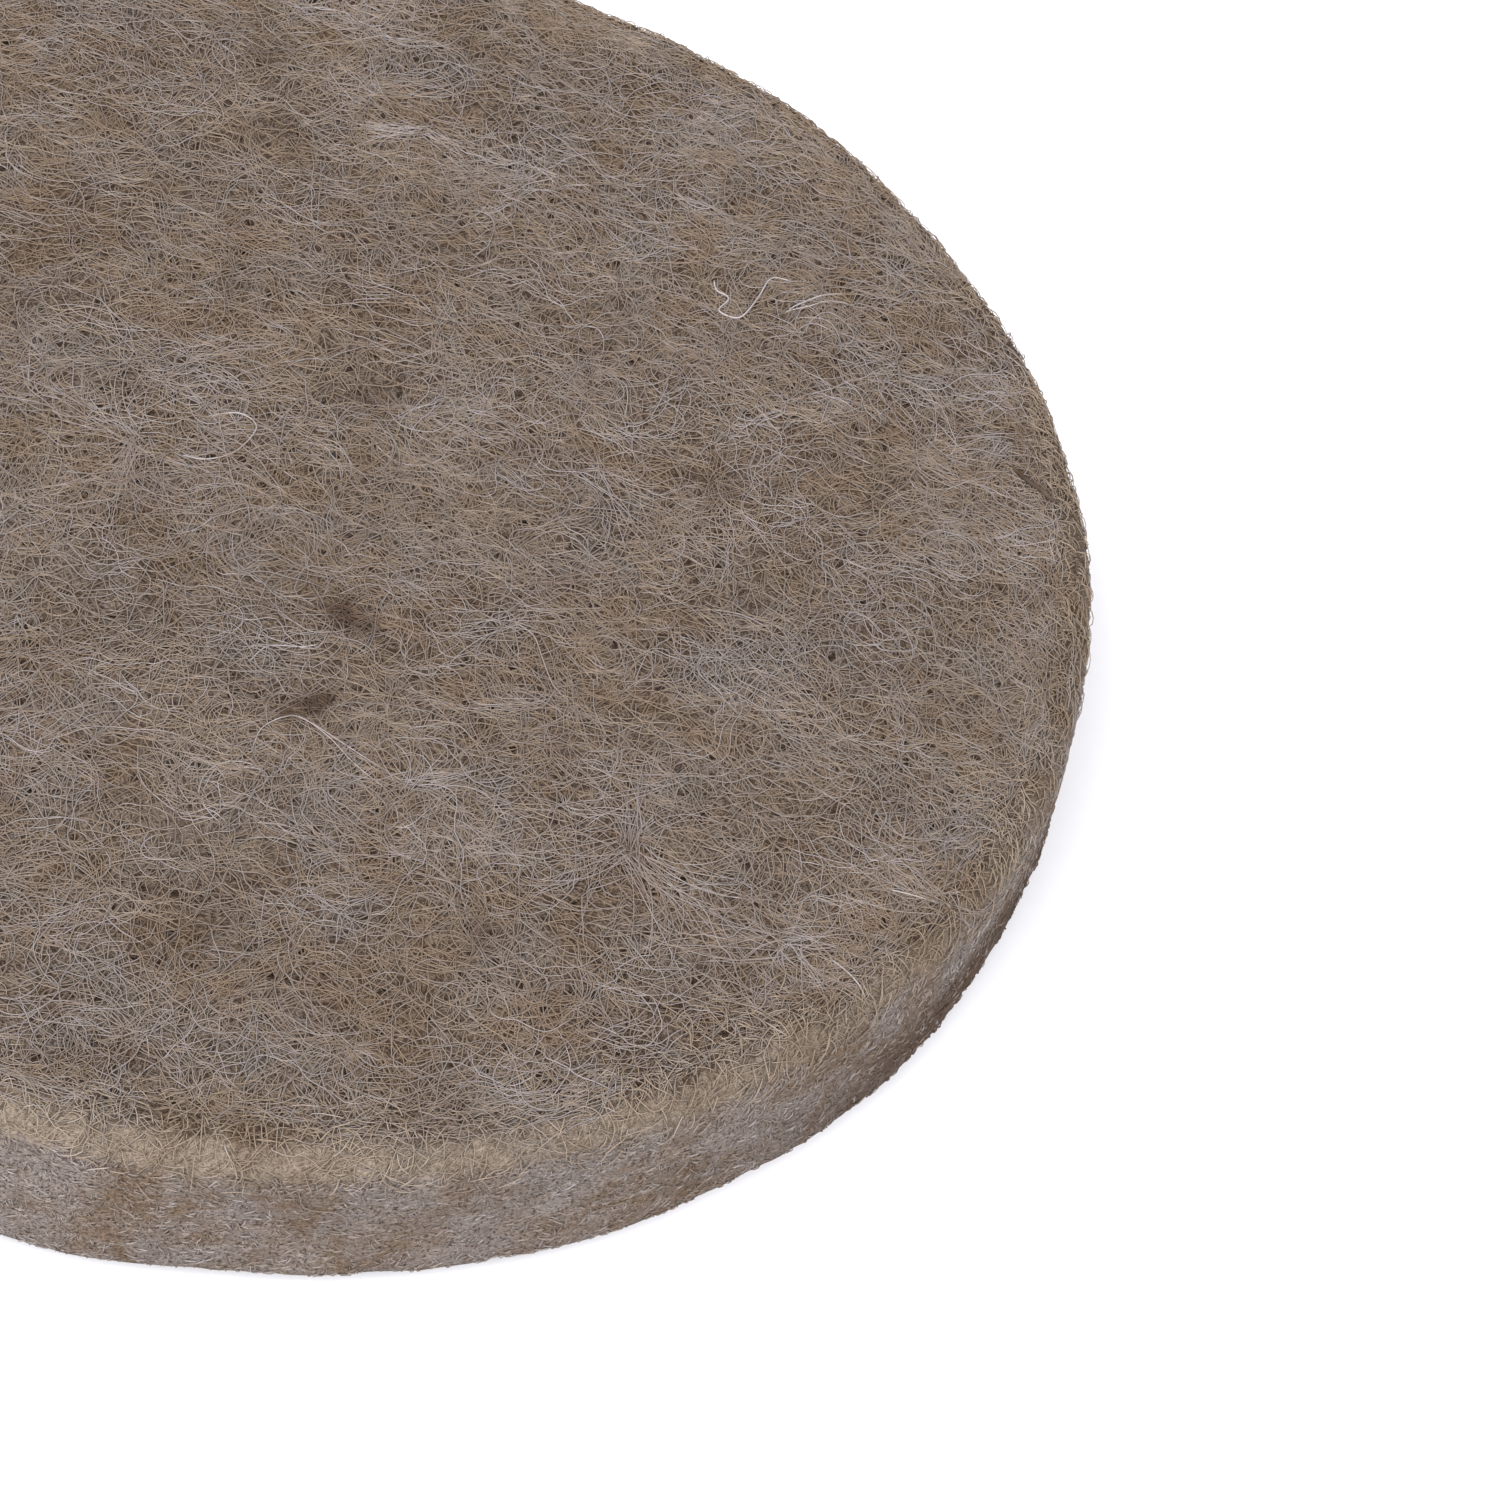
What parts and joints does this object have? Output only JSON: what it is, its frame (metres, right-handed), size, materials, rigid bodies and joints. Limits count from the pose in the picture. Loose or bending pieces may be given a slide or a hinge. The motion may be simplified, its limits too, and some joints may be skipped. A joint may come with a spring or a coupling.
{
  "type": "felt polishing wheel",
  "caption": "Round wool felt polishing wheel with a closed, soft-shouldered working face and a flush threaded steel hub in its back.",
  "frame": {"origin": "on the wheel's axis, in the seating plane at the back of the hub plate and the backing cloth", "axes": "+Z along the wheel's axis, from the back towards the working face; X and Y run through the hub plate's key holes"},
  "size_m": [0.0508, 0.0508, 0.0061],
  "materials": {
    "wool_felt": "matted wool fibre",
    "plated_steel": "zinc plated",
    "bright_steel": "turned",
    "cement": "dried contact cement",
    "cotton_cloth": "plain weave"
  },
  "bodies": {
    "root": {"felt_disc": "wool_felt", "hub_plate": "plated_steel", "threaded_insert": "bright_steel", "hub_cement": "cement", "backing_cloth": "cotton_cloth", "cloth_cement": "cement"}
  },
  "joints": []
}
